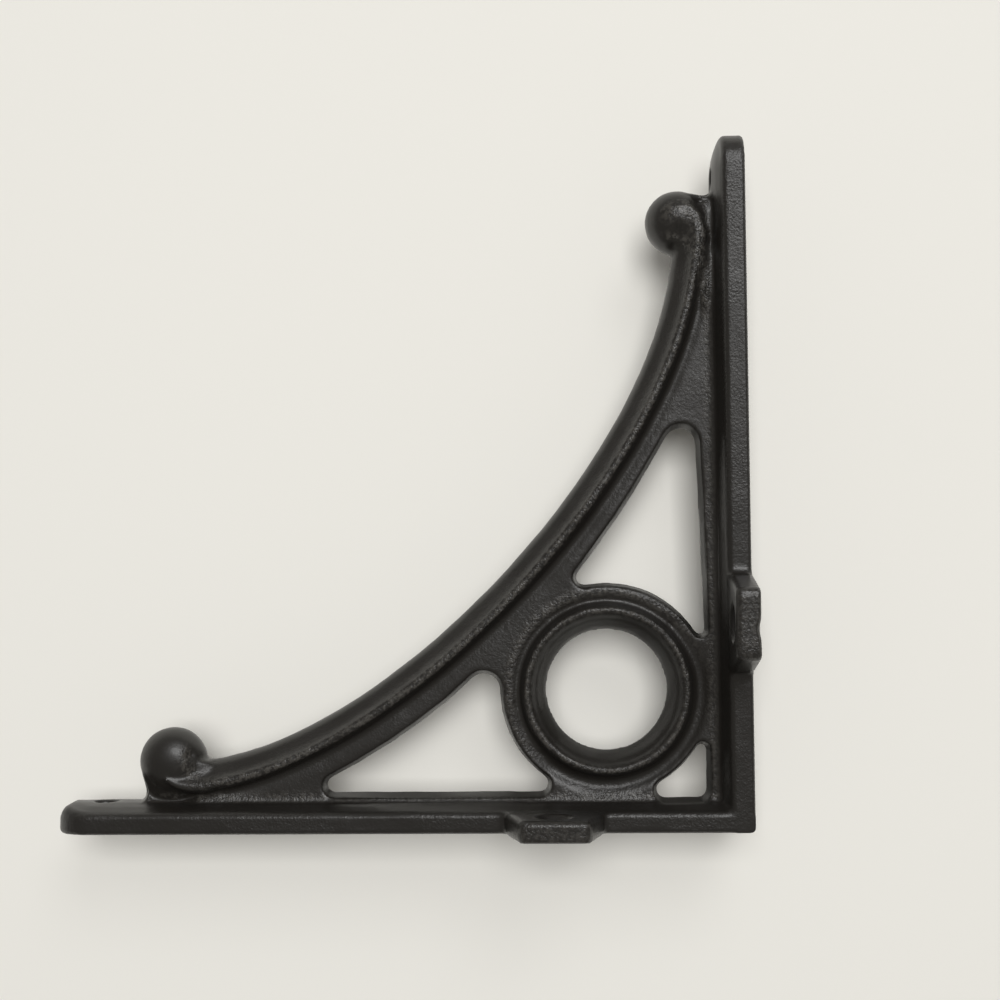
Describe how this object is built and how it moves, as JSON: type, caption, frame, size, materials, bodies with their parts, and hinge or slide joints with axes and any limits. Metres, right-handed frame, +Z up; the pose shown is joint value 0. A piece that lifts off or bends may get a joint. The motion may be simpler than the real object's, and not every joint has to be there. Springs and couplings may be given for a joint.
{
  "type": "shelf bracket",
  "caption": "Ornate cast iron shelf bracket: plates at a right angle with screw ears, a curved moulded arm with ball scrolls and a pierced ring in the corner.",
  "frame": {"origin": "on the back face that lies on the wall, in the middle of its width and level with the pair of screw ears there", "axes": "+X out from the wall along the shelf, +Y across the bracket, +Z up; the shelf rests on the top face at z = 45 mm"},
  "size_m": [0.1524, 0.048, 0.154],
  "materials": {
    "black_painted_iron": "satin black paint over sand-cast iron with a fine orange-peel grain"
  },
  "bodies": {
    "root": {"bracket_casting": "black_painted_iron"}
  },
  "joints": []
}
